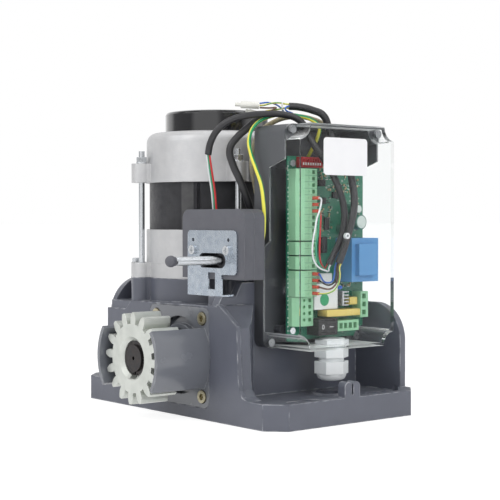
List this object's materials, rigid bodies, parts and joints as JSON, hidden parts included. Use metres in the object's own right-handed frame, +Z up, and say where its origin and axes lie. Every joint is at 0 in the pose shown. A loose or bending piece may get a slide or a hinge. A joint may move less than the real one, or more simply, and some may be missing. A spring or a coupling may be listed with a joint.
{
  "type": "sliding gate motor",
  "caption": "Sliding gate opener with its hood off: cast foot, upright motor, worm gear and rack pinion, spring-rod limit switch and a control box with clear cover.",
  "frame": {"origin": "middle of the foot's underside, in the plane the opener stands on", "axes": "+Z up; -Y towards the rack, the way the pinion's shaft points; +X towards the control box, along the gate's path"},
  "size_m": [0.262, 0.2075, 0.2497],
  "materials": {
    "casting": "satin",
    "guard_paint": "gloss",
    "zinc_yellow": "satin",
    "pinion_steel": "satin",
    "black_steel": "satin",
    "shaft_steel": "satin",
    "rubber_black": "matte",
    "bronze": "satin",
    "stack_black": "satin",
    "copper": "satin",
    "shield_aluminium": "matte",
    "cap_black": "gloss",
    "zinc_white": "satin",
    "capacitor_white": "satin",
    "case_grey": "matte",
    "zinc_plate": "satin",
    "plastic_black": "satin",
    "shell_grey": "matte",
    "clear_cover": "gloss",
    "screw_grey": "satin",
    "board_green": "satin",
    "terminal_green": "satin",
    "ferrule_red": "satin",
    "switch_red": "satin",
    "transformer_blue": "satin",
    "relay_white": "satin",
    "film_yellow": "satin",
    "fin_aluminium": "satin",
    "gland_white": "satin",
    "cable_black": "satin",
    "earth_yellow": "satin",
    "sleeve_cream": "matte",
    "lead_white": "satin"
  },
  "bodies": {
    "frame": {"base_housing": "casting", "flange_guard": "guard_paint", "flange_screws": "zinc_yellow", "front_bearing": "shaft_steel", "rear_bearing": "shaft_steel", "oil_seal": "rubber_black", "stator_core": "stack_black", "stator_windings": "copper", "lower_shield": "shield_aluminium", "upper_shield": "shield_aluminium", "foot_bearing": "shaft_steel", "lower_motor_bearing": "shaft_steel", "upper_motor_bearing": "shaft_steel", "top_cap": "cap_black", "top_cap_screws": "zinc_white", "tie_rods": "zinc_white", "tie_rod_nuts": "zinc_white", "shield_bolts": "zinc_white", "run_capacitor": "capacitor_white", "limit_case_front": "case_grey", "limit_case_rear": "case_grey", "limit_bracket": "zinc_plate", "limit_screws": "zinc_white", "limit_switches": "plastic_black", "box_base": "shell_grey", "box_cover": "clear_cover", "cover_screws": "screw_grey", "box_screws": "zinc_white", "circuit_board": "board_green", "board_screws": "zinc_white", "terminal_blocks": "terminal_green", "ferrules": "ferrule_red", "dip_switch": "switch_red", "transformer": "transformer_blue", "relay": "relay_white", "board_capacitors": "film_yellow", "heatsink": "fin_aluminium", "rocker_frame": "plastic_black", "gland_body": "gland_white", "gland_locknut": "gland_white", "gland_nut": "gland_white", "gland_seal": "rubber_black", "motor_cable": "cable_black", "earth_wire": "earth_yellow", "sleeved_lead": "sleeve_cream", "limit_cable": "cable_black", "control_leads": "lead_white", "crimp_caps": "earth_yellow"},
    "output": {"output_shaft": "black_steel", "drive_gear": "pinion_steel", "retaining_ring": "black_steel", "drive_key": "shaft_steel", "worm_wheel": "bronze"},
    "rotor": {"worm_shaft": "shaft_steel", "worm": "shaft_steel", "rotor_core": "shaft_steel"},
    "limit_rod": {"limit_lever": "case_grey", "lever_spring": "zinc_white", "lever_tip": "case_grey"},
    "rocker": {"rocker_button": "plastic_black"}
  },
  "joints": [
    {"name": "output_turn", "type": "hinge", "parent": "frame", "child": "output", "pos_m": [0.013, 0, 0.0485], "axis": [0, 1, 0], "continuous": true},
    {"name": "rotor_turn", "type": "hinge", "parent": "frame", "child": "rotor", "pos_m": [-0.027, -0.009, 0], "axis": [0, 0, 1], "continuous": true},
    {"name": "limit_swing", "type": "hinge", "parent": "frame", "child": "limit_rod", "pos_m": [0.047, -0.0575, 0.1244], "axis": [0, 0, 1], "range_deg": [-25, 25], "stiffness_Nm_per_rad": 0.05},
    {"name": "rocker_press", "type": "hinge", "parent": "frame", "child": "rocker", "pos_m": [0.0931, 0.0065, 0.0715], "axis": [0, 0, 1], "range_deg": [0, 24]}
  ],
  "couplings": [
    {"joint": "output_turn", "follows": "rotor_turn", "ratio": -0.033333}
  ]
}
